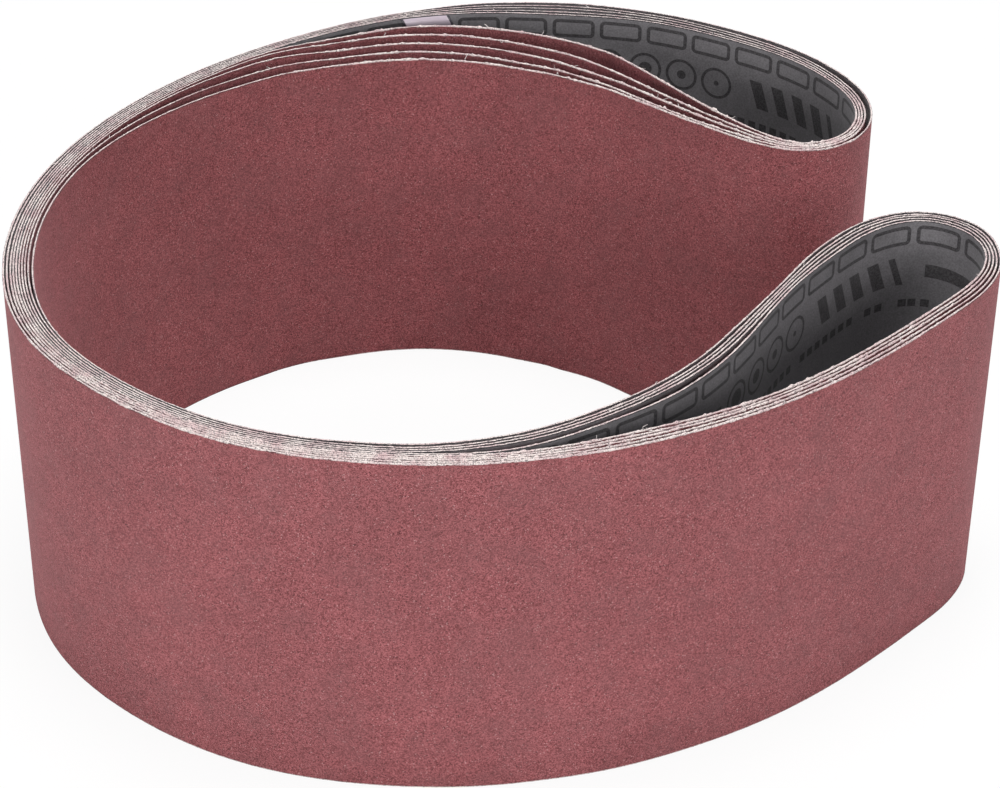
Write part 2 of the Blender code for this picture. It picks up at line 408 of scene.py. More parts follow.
@dataclass(frozen=True)
class DressedDrill(Finish):
    """Cotton drill, dyed and dressed with resin: the bare side of the belts.

    Smooth dark grey with a faint weave and a low sheen, stamped with generic run marks in darker ink.
    """

    name: str = "dressed cotton drill"
    cloth: str = "#827f82"
    ink: str = "#393638"
    # The drill's threads lie about 0.45 mm apart, and are drawn a little wider.
    thread_pitch: float = 0.6 * MM
    thread_relief: float = 0.03 * MM
    thread_strength: float = 0.5
    fleck: float = 0.75 * MM
    fleck_depth: float = 0.2
    patch: float = 6 * MM
    patch_depth: float = 0.07
    band: float = 38 * MM
    band_depth: float = 0.07
    # The ink thins where the flecks are dark: where that starts and ends, and how much is left.
    wear_limits: tuple[float, float] = (0.8, 1.12)
    worn_ink: float = 0.5
    roughness: float = 0.52
    specular: float = 0.35
    sheen: float = 0.1

    def build(self) -> Material:
        """Builds the material.

        Returns:
            The material.
        """
        made, tree, shader = self.begin({"Sheen Weight": self.sheen, "Specular IOR Level": self.specular})
        face = add_node(tree, "UVMap", uv_map="face").outputs[0]
        place = add_node(tree, "TexCoord").outputs["Object"]
        turns = 2 * math.pi * MM / self.thread_pitch
        phase = add_node(tree, "VectorMath", {0: face, "Scale": turns}, operation="SCALE").outputs[0]
        waves = add_node(tree, "VectorMath", {0: phase}, operation="SINE").outputs[0]
        threads = add_node(tree, "SeparateXYZ", {0: waves}).outputs
        weave = add_node(tree, "Math", {0: threads[0], 1: threads[1]}, operation="MULTIPLY").outputs[0]
        patches = self.cloud(tree, place, self.patch, self.patch_depth)
        bands = self.cloud(tree, place, self.band, self.band_depth)
        flecks = self.cloud(tree, place, self.fleck, self.fleck_depth)
        level = add_node(tree, "Math", {0: patches, 1: bands}, operation="MULTIPLY").outputs[0]
        level = add_node(tree, "Math", {0: level, 1: flecks}, operation="MULTIPLY").outputs[0]
        low, high = self.wear_limits
        limits = {"From Min": low, "From Max": high, "To Min": self.worn_ink}
        worn = add_node(tree, "MapRange", {"Value": flecks, **limits}).outputs[0]
        printed = RunMarks().ink(tree, face)
        inked = add_node(tree, "Math", {0: printed, 1: worn}, operation="MULTIPLY").outputs[0]
        mixed = {0: inked, 6: linear(self.cloth), 7: linear(self.ink)}
        tone = add_node(tree, "Mix", mixed, data_type="RGBA").outputs[2]
        tone = add_node(tree, "VectorMath", {0: tone, "Scale": level}, operation="SCALE").outputs[0]
        relief = {"Height": weave, "Strength": self.thread_strength, "Distance": self.thread_relief}
        bump = add_node(tree, "Bump", relief)
        tree.links.new(tone, shader.inputs["Base Color"])
        tree.links.new(bump.outputs[0], shader.inputs["Normal"])
        return made


@dataclass(frozen=True)
class CutCotton(Finish):
    """Coated cloth cut through by a slitting knife.

    Off-white and fluffy in the core, with specks of dark resin and painted shade in the hollows of the
    fluff, grey at the dressed face, and brown-red where the coat of grit is cut.
    """

    name: str = "slit cotton edge"
    cotton: str = "#e8dbd7"
    # The slitting knife drags dust of the grit into the cotton.
    dusted_cotton: str = "#caa5a9"
    # Dark resin specks, and also painted shade in the hollows of the fluff.
    resin: str = "#71676a"
    cut_dressing: str = "#3a373a"
    cut_grit: str = "#5c3235"
    # Where the dressing ends and the grit starts, as shares of the thickness from the bare face.
    dressing_share: float = 0.12
    grit_share: float = 0.85
    softness: float = 0.05
    fray: float = 0.26
    dust: float = 8 * MM
    dust_limits: tuple[float, float] = (0.4, 0.66)
    dust_cover: float = 0.65
    fluff: float = 0.5 * MM
    fluff_limits: tuple[float, float] = (0.34, 0.52)
    fluff_strength: float = 0.6
    fluff_relief: float = 0.15 * MM
    clump: float = 1.3 * MM
    roughness: float = 0.9
    sheen: float = 0.2

    def build(self) -> Material:
        """Builds the material.

        Returns:
            The material.
        """
        made, tree, shader = self.begin({"Sheen Weight": self.sheen})
        place = add_node(tree, "TexCoord").outputs["Object"]
        across = add_node(tree, "Attribute", attribute_name="across").outputs["Fac"]
        fluff, clump, dust = (
            add_node(tree, "TexNoise", {"Vector": place, "Scale": 1 / size, "Detail": detail}).outputs[0]
            for size, detail in ((self.fluff, 2.0), (self.clump, 1.0), (self.dust, 2.0))
        )
        # The fluff's low places take the dark colour: resin specks, and painted shade between the fibres.
        low, high = self.fluff_limits
        resin_specks_and_shade = add_node(tree, "MapRange", {"Value": fluff, "From Min": low, "From Max": high}).outputs[0]
        low, high = self.dust_limits
        limits = {"From Min": low, "From Max": high, "To Max": self.dust_cover}
        dusted = add_node(tree, "MapRange", {"Value": dust, **limits}).outputs[0]
        mixed = {0: dusted, 6: linear(self.cotton), 7: linear(self.dusted_cotton)}
        cotton = add_node(tree, "Mix", mixed, data_type="RGBA").outputs[2]
        mixed = {0: resin_specks_and_shade, 6: linear(self.resin), 7: cotton}
        tone = add_node(tree, "Mix", mixed, data_type="RGBA").outputs[2]
        stray = {0: clump, 1: self.fray, 2: -self.fray / 2}
        stray = add_node(tree, "Math", stray, operation="MULTIPLY_ADD").outputs[0]
        depth = add_node(tree, "Math", {0: stray, 1: across}, operation="ADD").outputs[0]
        bare, coat = (
            add_node(
                tree,
                "MapRange",
                {"Value": depth, "From Min": share - self.softness, "From Max": share + self.softness},
            ).outputs[0]
            for share in (self.dressing_share, self.grit_share)
        )
        mixed = {0: bare, 6: linear(self.cut_dressing), 7: tone}
        tone = add_node(tree, "Mix", mixed, data_type="RGBA").outputs[2]
        mixed = {0: coat, 6: tone, 7: linear(self.cut_grit)}
        tone = add_node(tree, "Mix", mixed, data_type="RGBA").outputs[2]
        relief = {"Height": fluff, "Strength": self.fluff_strength, "Distance": self.fluff_relief}
        bump = add_node(tree, "Bump", relief)
        tree.links.new(tone, shader.inputs["Base Color"])
        tree.links.new(bump.outputs[0], shader.inputs["Normal"])
        return made


@dataclass(frozen=True)
class CottonThread(Finish):
    """Loose cotton fibre, spun and undyed: white and matt."""

    name: str = "loose cotton thread"
    cotton: str = "#f0e8e5"
    shaded_cotton: str = "#cfc2c0"
    fluff: float = 0.4 * MM
    roughness: float = 0.9
    sheen: float = 0.3

    def build(self) -> Material:
        """Builds the material.

        Returns:
            The material.
        """
        made, tree, shader = self.begin({"Sheen Weight": self.sheen})
        place = add_node(tree, "TexCoord").outputs["Object"]
        fluff = add_node(tree, "TexNoise", {"Vector": place, "Scale": 1 / self.fluff}).outputs[0]
        mixed = {0: fluff, 6: linear(self.shaded_cotton), 7: linear(self.cotton)}
        tone = add_node(tree, "Mix", mixed, data_type="RGBA").outputs[2]
        tree.links.new(tone, shader.inputs["Base Color"])
        return made


@dataclass(frozen=True)
class SpliceFilm(Finish):
    """Polyester splicing film, cast smooth and pressed on hot.

    Pale lavender, with a low gloss and a dark border along each long side.
    """

    name: str = "polyester splice film"
    film: str = "#bdafba"
    # A dark band along each long side of the film.
    dark_border: str = "#37323a"
    half_width: float = 10 * MM
    dark_border_width: float = 1.1 * MM
    dark_border_softness: float = 0.1 * MM
    # The creases' tone follows their relief: painted shade in their hollows and painted light on their
    # ridges.
    crease: float = 3 * MM
    crease_depth: float = 0.04
    crease_strength: float = 0.2
    crease_relief: float = 0.2 * MM
    roughness: float = 0.3

    def build(self) -> Material:
        """Builds the material.

        Returns:
            The material.
        """
        made, tree, shader = self.begin({})
        face = add_node(tree, "UVMap", uv_map="face").outputs[0]
        place = add_node(tree, "TexCoord").outputs["Object"]
        split = add_node(tree, "SeparateXYZ", {0: face}).outputs
        off_middle = add_node(tree, "Math", {0: split[0]}, operation="ABSOLUTE").outputs[0]
        inner, soft = (self.half_width - self.dark_border_width) / MM, self.dark_border_softness / MM
        limits = {"From Min": inner - soft, "From Max": inner + soft}
        side = add_node(tree, "MapRange", {"Value": off_middle, **limits}).outputs[0]
        level = self.cloud(tree, place, self.crease, self.crease_depth)
        mixed = {0: side, 6: linear(self.film), 7: linear(self.dark_border)}
        tone = add_node(tree, "Mix", mixed, data_type="RGBA").outputs[2]
        # Painted shade: the crease noise that gives the relief also darkens the film in the hollows.
        tone = add_node(tree, "VectorMath", {0: tone, "Scale": level}, operation="SCALE").outputs[0]
        relief = {"Height": level, "Strength": self.crease_strength, "Distance": self.crease_relief}
        bump = add_node(tree, "Bump", relief)
        tree.links.new(tone, shader.inputs["Base Color"])
        tree.links.new(bump.outputs[0], shader.inputs["Normal"])
        return made


@dataclass(frozen=True)
class SweepPaper(Finish):
    """Matt white background paper.

    Seen straight it is white and keeps a soft shadow. It throws back the light of slightly grey paper.
    """

    name: str = "white background paper"
    paper: str = "#fafafa"
    thrown_back: str = "#f6f6f6"
    own_white: float = 0.9
    roughness: float = 0.95

    def build(self) -> Material:
        """Builds the material.

        Returns:
            The material.
        """
        made, tree, shader = self.begin({"Specular IOR Level": 0.0})
        shown = seen(tree)
        mixed = {0: shown, 6: linear(self.thrown_back), 7: linear(self.paper)}
        tone = add_node(tree, "Mix", mixed, data_type="RGBA").outputs[2]
        tree.links.new(tone, shader.inputs["Base Color"])
        white = add_node(tree, "Emission", {"Color": WHITE, "Strength": 1.0}).outputs[0]
        share = add_node(tree, "Math", {0: shown, 1: self.own_white}, operation="MULTIPLY").outputs[0]
        mix = add_node(tree, "MixShader", {0: share, 1: shader.outputs[0], 2: white})
        tree.links.new(mix.outputs[0], tree.nodes["Material Output"].inputs["Surface"])
        return made


class ClosedSpline:
    """The curve of least bending round a loop of points."""

    def __init__(self, knots: np.ndarray, points: np.ndarray) -> None:
        """Works out how the curve bends at each point.

        Args:
            knots: The distance at each point, and last the distance all the way round.
            points: The points, without the first one again at the end.
        """
        count = len(points)
        self.knots = knots
        self.points = points
        self.span = np.diff(knots)
        matrix = np.zeros((count, count))
        rise = np.zeros(points.shape)
        for i in range(count):
            after = (i + 1) % count
            matrix[i, i - 1] += self.span[i - 1]
            matrix[i, i] += 2 * (self.span[i - 1] + self.span[i])
            matrix[i, after] += self.span[i]
            slope = (points[after] - points[i]) / self.span[i]
            rise[i] = 6 * (slope - (points[i] - points[i - 1]) / self.span[i - 1])
        self.bend = np.linalg.solve(matrix, rise)

    def at(self, distance: np.ndarray) -> np.ndarray:
        """Points on the curve.

        Args:
            distance: Distances round the loop.

        Returns:
            The point at each.
        """
        distance = distance % self.knots[-1]
        i = np.clip(np.searchsorted(self.knots, distance, side="right") - 1, 0, len(self.span) - 1)
        after = (i + 1) % len(self.points)
        share = ((distance - self.knots[i]) / self.span[i])[:, None]
        rest = 1 - share
        straight = rest * self.points[i] + share * self.points[after]
        square = (self.span[i] ** 2)[:, None] / 6
        return straight + square * ((rest**3 - rest) * self.bend[i] + (share**3 - share) * self.bend[after])


class BeltPath:
    """The run of one belt in plan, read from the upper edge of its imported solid."""

    # What lies this close to the solid's top is its upper edge.
    rim_depth = 0.1 * MM

    def __init__(self, solid: Object) -> None:
        """Reads the solid.

        Args:
            solid: The belt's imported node.
        """
        bare, grit = sorted(self.upper_loops(solid), key=self.area)
        start = np.where(bare[:, 1] > 0, bare[:, 0], -np.inf).argmax()
        bare = np.roll(bare, -start, axis=0)
        start = np.linalg.norm(grit - bare[0], axis=1).argmin()
        grit = np.roll(grit, -start, axis=0)
        middle = (bare + grit) / 2
        steps = np.linalg.norm(np.roll(middle, -1, axis=0) - middle, axis=1)
        knots = np.concatenate([[0], np.cumsum(steps)])
        self.length = knots[-1]
        self.bare = ClosedSpline(knots, bare)
        self.grit = ClosedSpline(knots, grit)
        self.thickness = float(np.linalg.norm(grit - bare, axis=1).mean())

    @staticmethod
    def area(loop: np.ndarray) -> float:
        """The area inside a loop, positive where it runs anticlockwise."""
        x, y = loop.T
        return float((x * np.roll(y, -1) - np.roll(x, -1) * y).sum() / 2)

    def upper_loops(self, solid: Object) -> list[np.ndarray]:
        """The two outlines of the solid's upper edge.

        Args:
            solid: The belt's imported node.

        Returns:
            Both loops of plan points, each anticlockwise.
        """
        mesh = solid.data
        top = max(vertex.co.z for vertex in mesh.vertices)
        uses: dict[frozenset, int] = {}
        places: dict[tuple, np.ndarray] = {}
        for polygon in mesh.polygons:
            corners = [mesh.vertices[i].co for i in polygon.vertices]
            if min(corner.z for corner in corners) < top - self.rim_depth:
                continue
            keys = [(round(corner.x / MM, 2), round(corner.y / MM, 2)) for corner in corners]
            for key, corner in zip(keys, corners):
                places[key] = np.array(corner.xy)
            for key, following in zip(keys, keys[1:] + keys[:1]):
                edge = frozenset((key, following))
                uses[edge] = uses.get(edge, 0) + 1
        beside: dict[tuple, list] = {}
        for edge in (edge for edge, count in uses.items() if count == 1):
            one, other = edge
            beside.setdefault(one, []).append(other)
            beside.setdefault(other, []).append(one)
        loops = []
        while beside:
            loop = [next(iter(beside))]
            ahead = beside.pop(loop[0])
            while ahead and (following := next((key for key in ahead if key in beside), None)):
                loop.append(following)
                ahead = beside.pop(following)
            points = np.array([places[key] for key in loop])
            loops.append(points if self.area(points) > 0 else points[::-1])
        return loops

    def at(self, distance: np.ndarray, across: np.ndarray, height: np.ndarray) -> np.ndarray:
        """Points on or in the belt.

        Args:
            distance: Metres along the belt from the back eye's nose.
            across: 0 on the bare face and 1 on the grit face.
            height: Metres above the ground.

        Returns:
            One point a row.
        """
        across = np.broadcast_to(across, distance.shape)[:, None]
        plan = self.bare.at(distance) * (1 - across) + self.grit.at(distance) * across
        return np.column_stack([plan, np.broadcast_to(height, distance.shape)])

    def distance_of(self, point: np.ndarray, step: float = 0.25 * MM) -> float:
        """How far along the belt a place lies, to the nearest step."""
        distances = np.arange(0, self.length, step)
        return float(distances[np.linalg.norm(self.bare.at(distances) - point[:2], axis=1).argmin()])


def unevenness(rng: np.random.Generator, count: int, length: float, spacing: float) -> np.ndarray:
    """Smooth random ups and downs round a loop.

    Args:
        rng: The source of chance.
        count: How many even stations the loop has.
        length: The length of the loop, in metres.
        spacing: How far apart the ups and downs lie, in metres.

    Returns:
        A number for each station, about -1 to 1.
    """
    knots = max(4, round(length / spacing))
    levels = np.clip(rng.normal(0, 0.5, knots), -1, 1)
    place = np.arange(count) / count * knots
    i = place.astype(int) % knots
    share = place - np.floor(place)
    share = share * share * (3 - 2 * share)
    return levels[i] * (1 - share) + levels[(i + 1) % knots] * share


def tubes(lines: np.ndarray, radii: np.ndarray, sides: int) -> tuple[np.ndarray, Faces]:
    """Closed round threads along many lines at once.

    Args:
        lines: The points of each line, as lines by points by 3.
        radii: The radius at each point, as lines by points.
        sides: How many sides each thread has.

    Returns:
        All points, and the faces that join them.
    """
    count, length, _ = lines.shape
    ahead = np.gradient(lines, axis=1)
    ahead /= np.linalg.norm(ahead, axis=2, keepdims=True)
    aside = np.cross(ahead, ODD_DIRECTION)
    aside /= np.linalg.norm(aside, axis=2, keepdims=True)
    beyond = np.cross(ahead, aside)
    turn = np.arange(sides) / sides * 2 * math.pi
    ring = aside[:, :, None] * np.cos(turn)[:, None] + beyond[:, :, None] * np.sin(turn)[:, None]
    points = (lines[:, :, None] + ring * radii[:, :, None, None]).reshape(-1, 3)
    first = np.arange(count) * length * sides
    faces = []
    for step in range(length - 1):
        for side in range(sides):
            low = step * sides + side
            low_next = step * sides + (side + 1) % sides
            corners = (low, low_next, low_next + sides, low + sides)
            faces += np.stack([first + corner for corner in corners], axis=1).tolist()
    near_cap = np.arange(sides)[::-1]
    far_cap = (length - 1) * sides + np.arange(sides)
    for cap in (near_cap, far_cap):
        faces += (first[:, None] + cap).tolist()
    return points, faces


def new_piece(name: str, points: np.ndarray, faces: Faces, finishes: list[Material]) -> Object:
    """Makes a smooth-shaded object.

    Args:
        name: Its name.
        points: Its points, in metres.
        faces: The corners of each face.
        finishes: Its materials.

    Returns:
        The object, linked to the scene.
    """
    mesh = bpy.data.meshes.new(name)
    mesh.from_pydata(points.tolist(), [], faces)
    for finish in finishes:
        mesh.materials.append(finish)
    mesh.shade_smooth()
    piece = bpy.data.objects.new(name, mesh)
    bpy.context.scene.collection.objects.link(piece)
    return piece


class Surface(Enum):
    """The surfaces of a belt, by the number of their material."""

    BARE = 0
    CUT = 1
    GRIT = 2


@dataclass(frozen=True)
class Row:
    """One line of points round a belt: its place in the section, how fine it is and how far it strays."""

    across: float
    height: float
    finer: int = 1
    rough: float = 0.0


@dataclass(frozen=True)
class Strands:
    """One kind of loose thread: how many there are, how long and thick, and how they lie and curl."""

    per_mm: float
    length: tuple[float, float]
    radius: float
    joints: int
    curl: float
    # The share of their length that they keep at least where the edge is clean.
    least: float
    # How much they lie along the edge, aside and up, against one another.
    along: float = 1.1
    aside: float = 0.3
    up: tuple[float, float] = (0.08, 0.6)
    # The part of the curl that goes to and fro.
    to_and_fro: float = 0.6
    # How their thickness varies, and how much of it they lose towards the end.
    thickness: tuple[float, float] = (0.7, 1.2)
    taper: float = 0.65
    sides: int = 3


@dataclass
class Belt:
    """One endless belt: the coated cloth with its two slit edges, and the threads that stand out of them."""

    number: int
    path: BeltPath
    width: float
    wall_step: float = 4 * MM
    edge_depth: float = 0.5 * MM
    edge_rounding: float = 0.2 * MM
    wall_margin: float = 2 * MM
    wall_rows: int = 5
    upper_finer: int = 8
    lower_finer: int = 4
    heave: float = 0.16 * MM
    heave_spacing: float = 170 * MM
    # The heave fades below the upper edge, by this power of the height's share.
    heave_power: int = 20
    # The edge's unevenness, fine and coarse, and sideways.
    ragged: float = 0.15 * MM
    fine_spacing: float = 0.9 * MM
    coarse_spacing: float = 2.8 * MM
    coarse_share: float = 0.6
    side_spacing: float = 1.1 * MM
    side_share: float = 0.6
    knot_every: float = 2.6 * MM
    knot_height: tuple[float, float] = (0.04 * MM, 0.42 * MM)
    knot_reach: tuple[float, float] = (0.3 * MM, 0.9 * MM)
    knot_spread: float = 0.55
    # Where the layers are pressed together, at the back and on the left, the slit edges stay clean. How
    # loosely the cotton stands out, at distances from the back eye's nose in millimetres.
    loose_places: tuple[float, ...] = (0, 90, 450, 560, 660, 930, 1000, 1240, 1430, 1700, 1780, 1990, 2027)
    loose_shares: tuple[float, ...] = (0.5, 0.2, 0.3, 0.7, 1.0, 1.0, 0.4, 0.5, 0.3, 0.3, 1.0, 1.0, 0.5)
    # How far the cotton spreads over the dark edges of the layers where it is loose, and how far the dark
    # edges close over it where it is clean.
    cotton_spread: float = 0.38
    clean_narrowing: float = 0.35
    # How much the cotton's spread varies from patch to patch along a belt, and how long the patches are.
    patchiness: float = 0.22
    patch_length: float = 7 * MM
    hairs: Strands = Strands(0.22, (0.2 * MM, 0.7 * MM), 0.06 * MM, joints=3, curl=0.25, least=0.2)
    tufts: Strands = Strands(1 / 70, (1.0 * MM, 3.6 * MM), 0.24 * MM, joints=7, curl=0.4, least=0.6)
    # Where in the cloth the threads are rooted, and how far under the edge and over it they lie.
    root_across: tuple[float, float] = (0.15, 0.75)
    root_depth: float = 0.15 * MM
    thread_clearance: float = 0.02 * MM
    # Where the splice lies along the belt.
    splice: float = 0.0
    seed: int = 700
    rng: np.random.Generator = field(init=False)
    levels: np.ndarray = field(init=False)

    def __post_init__(self) -> None:
        """Gives the belt its own source of chance."""
        self.rng = np.random.default_rng(self.seed + self.number)
        self.levels = self.rng.uniform(-1, 1, max(2, round(self.path.length / self.heave_spacing)))

    def rows(self) -> list[tuple[Row, Surface]]:
        """The rows of points round the belt's section.

        Returns:
            Each row, from the bare face over the upper edge to the grit face and back under the lower edge,
            with the surface that lies between it and the next.
        """
        walls = np.linspace(self.wall_margin, self.width - self.wall_margin, self.wall_rows)
        fine, coarse, ragged = self.upper_finer, self.lower_finer, self.ragged
        top, depth, drop = self.width, self.edge_depth, self.edge_rounding
        # The sections of both edges, point by point.
        upper = [
            Row(0.0, top - depth, fine, 0.7 * ragged),
            Row(0.02, top - drop, fine, 0.5 * ragged),
            Row(0.2, top - 0.05 * MM, fine, ragged),
            Row(0.48, top, fine, ragged),
            Row(0.78, top - 0.06 * MM, fine, ragged),
            Row(0.98, top - drop, fine, 0.5 * ragged),
            Row(1.0, top - depth, fine, 0.7 * ragged),
        ]
        lower = [
            Row(1.0, depth, coarse),
            Row(0.85, 0.05 * MM, coarse, 0.3 * ragged),
            Row(0.5, 0.0, coarse),
            Row(0.15, 0.05 * MM, coarse, 0.3 * ragged),
            Row(0.0, depth, coarse),
        ]
        section = [(Row(0.0, height), Surface.BARE) for height in walls]
        section += [(row, Surface.CUT) for row in upper[:-1]] + [(upper[-1], Surface.GRIT)]
        section += [(Row(1.0, height), Surface.GRIT) for height in walls[::-1]]
        section += [(row, Surface.CUT) for row in lower[:-1]] + [(lower[-1], Surface.BARE)]
        return section

    def knots(self, stations: np.ndarray) -> np.ndarray:
        """The little lumps of cotton along the upper edge.

        Args:
            stations: Distances along the belt.

        Returns:
            How high the lumps stand at each.
        """
        count = round(self.path.length / self.knot_every)
        places = self.rng.uniform(0, self.path.length, count)
        heights = self.rng.uniform(*self.knot_height, count)
        reaches = self.rng.uniform(*self.knot_reach, count)
        lumps = np.zeros(len(stations))
        for place, height, reach in zip(places, heights, reaches):
            lumps += height * np.exp(-(((stations - place) / reach) ** 2))
        return lumps

    def rise(self, distance: np.ndarray) -> np.ndarray:
        """How far the upper edge stands above the nominal width, as the belts never lie quite level.

        Args:
            distance: Distances along the belt.

        Returns:
            The rise at each, in metres.
        """
        turns = len(self.levels)
        place = distance / self.path.length * turns % turns
        return self.heave * np.interp(place, np.arange(turns + 1), np.append(self.levels, self.levels[0]))

    def looseness(self, distance: np.ndarray) -> np.ndarray:
        """How freely the cotton stands out of the slit edge.

        Args:
            distance: Distances along the belt.

        Returns:
            1 at each where it is loose, and less where it is clean.
        """
        return np.interp(distance / MM, self.loose_places, self.loose_shares)

    def row_points(self, row: Row, steps: int, lumps: np.ndarray) -> np.ndarray:
        """The points of one row.

        Args:
            row: The row.
            steps: How many stations the walls have.
            lumps: The lumps along the upper edge, at its stations.

        Returns:
            One point for each station of the row.
        """
        count = steps * row.finer
        length = self.path.length
        distance = np.arange(count) / count * length
        across = np.full(count, row.across)
        height = np.full(count, row.height)
        if row.height > self.width / 2:
            height += self.rise(distance) * (row.height / self.width) ** self.heave_power
        if row.rough:
            loose = self.looseness(distance)
            fine = unevenness(self.rng, count, length, self.fine_spacing)
            fine += self.coarse_share * unevenness(self.rng, count, length, self.coarse_spacing)
            height += row.rough * fine * loose
            sideways = self.side_share * row.rough / self.path.thickness
            across += sideways * unevenness(self.rng, count, length, self.side_spacing)
            if row.finer == self.upper_finer:
                lumps = lumps * loose
                height += lumps * (1 - abs(2 * row.across - 1) ** 3)
                across += (across - 0.5) * self.knot_spread * lumps / self.knot_height[1]
        return self.path.at(distance, across, np.maximum(height, 0))

    def cloth(self, finishes: dict[Surface, Material]) -> Object:
        """Builds the coated cloth.

        Args:
            finishes: The material of each surface.

        Returns:
            The piece.
        """
        section = self.rows()
        steps = round(self.path.length / self.wall_step)
        fine_count = steps * self.upper_finer
        lumps = self.knots(np.arange(fine_count) / fine_count * self.path.length)
        points = np.vstack([self.row_points(row, steps, lumps) for row, _ in section])
        faces, surfaces, face_places = self.skin(section, steps)
        dressed = [finishes[surface] for surface in Surface]
        piece = new_piece(f"belt_{self.number}_cloth", points, faces, dressed)
        mesh = piece.data
        mesh.polygons.foreach_set("material_index", surfaces)
        layer = mesh.uv_layers.new(name="face")
        layer.data.foreach_set("uv", np.array(face_places, np.float32).ravel())
        across = mesh.attributes.new("across", "FLOAT", "POINT")
        across.data.foreach_set("value", self.cotton_depths(section, steps).astype(np.float32))
        return piece

    def skin(
        self, section: list[tuple[Row, Surface]], steps: int
    ) -> tuple[Faces, list[int], list[tuple[float, float]]]:
        """Joins each row to the next.

        Args:
            section: The rows of points, each with the surface that follows it.
            steps: How many stations the walls have.

        Returns:
            The corners of each face, the number of its surface, and for each corner the distance along the
            belt from the splice and the height across it, in millimetres.
        """
        faces: Faces = []
        surfaces: list[int] = []
        face_places: list[tuple[float, float]] = []
        round_trip = self.path.length / MM
        counts = [steps * row.finer for row, _ in section]
        # Each row's first point, how many it has, and their height.
        rings = [(sum(counts[:k]), counts[k], row.height) for k, (row, _) in enumerate(section)]
        for (_, surface), here, there in zip(section, rings, rings[1:] + rings[:1]):
            spans = min(here[1], there[1])
            here_each, there_each = here[1] // spans, there[1] // spans
            for i in range(spans):
                near = range(i * here_each, (i + 1) * here_each + 1)
                far = range(i * there_each, (i + 1) * there_each + 1)
                corners = [(here, near[0])]
                corners += [(there, station) for station in far]
                corners += [(here, station) for station in near[:0:-1]]
                faces.append([first + station % count for (first, count, _), station in corners])
                surfaces.append(surface.value)
                trip = -self.splice / MM
                trip -= round_trip * math.floor(near[0] / here[1] + trip / round_trip)
                for (_, count, height), station in corners:
                    face_places.append((station / count * round_trip + trip, height / MM))
        return faces, surfaces, face_places

    def cotton_depths(self, section: list[tuple[Row, Surface]], steps: int) -> np.ndarray:
        """How deep in the cloth each point counts as lying, which spreads or narrows the cotton's pale line.

        Args:
            section: The rows of points.
            steps: How many stations the walls have.

        Returns:
            0 at a point that looks like the bare face and 1 at one that looks like the grit.
        """
        shares = []
        patches = unevenness(self.rng, steps * self.upper_finer, self.path.length, self.patch_length)
        for row, _ in section:
            count = steps * row.finer
            loose = self.looseness(np.arange(count) / count * self.path.length)
            reach = 1 + self.clean_narrowing * (1 - loose) - self.cotton_spread * loose
            reach += self.patchiness * patches[:: self.upper_finer // row.finer]
            shares.append(0.5 + (row.across - 0.5) * reach)
        return np.concatenate(shares)

    def strands(self, kind: Strands) -> tuple[np.ndarray, Faces]:
        """Threads that stand out of the upper edge.

        Args:
            kind: Their kind.

        Returns:
            Their points, and the faces that join them.
        """
        count = round(self.path.length / MM * kind.per_mm)
        rng = self.rng
        distance = rng.uniform(0, self.path.length, count)
        rim = self.width + self.rise(distance)
        root = self.path.at(distance, rng.uniform(*self.root_across, count), rim - self.root_depth)
        ahead = self.path.at(distance + MM, 0.5, self.width) - self.path.at(distance - MM, 0.5, self.width)
        ahead /= np.linalg.norm(ahead, axis=1)[:, None]
        outward = np.column_stack([ahead[:, 1], -ahead[:, 0], np.zeros(count)])
        lean = rng.normal(0, kind.along, count)[:, None]
        aside = rng.normal(0, kind.aside, count)[:, None]
        up = np.array([0.0, 0.0, 1.0])
        direction = up * rng.uniform(*kind.up, count)[:, None] + ahead * lean + outward * aside
        direction /= np.linalg.norm(direction, axis=1)[:, None]
        direction[:, 2] = np.abs(direction[:, 2])
        shortest, longest = kind.length
        length = rng.triangular(shortest, shortest, longest, count)
        length *= np.maximum(self.looseness(distance), kind.least)
        share = np.linspace(0, 1, kind.joints)
        lines = root[:, None] + direction[:, None] * (share[:, None] * length[:, None, None])
        # Each bends one way towards its end, and to and fro on the way.
        stray = rng.normal(0, kind.curl, (count, 2, 3)) * length[:, None, None]
        lines += stray[:, :1] * (share**2)[:, None]
        lines += stray[:, 1:] * (np.sin(share * 2 * math.pi) * share)[:, None] * kind.to_and_fro
        lines[:, 1:, 2] = np.maximum(lines[:, 1:, 2], rim[:, None] + self.thread_clearance)
        radii = kind.radius * rng.uniform(*kind.thickness, count)[:, None] * (1 - kind.taper * share)
        return tubes(lines, radii, kind.sides)

    def threads(self, finish: Material) -> Object:
        """Builds the hairs and tufts of the upper edge.

        Args:
            finish: Their material.

        Returns:
            The piece.
        """
        hairs, hair_faces = self.strands(self.hairs)
        tufts, tuft_faces = self.strands(self.tufts)
        faces = hair_faces + [[corner + len(hairs) for corner in face] for face in tuft_faces]
        return new_piece(f"belt_{self.number}_threads", np.vstack([hairs, tufts]), faces, [finish])


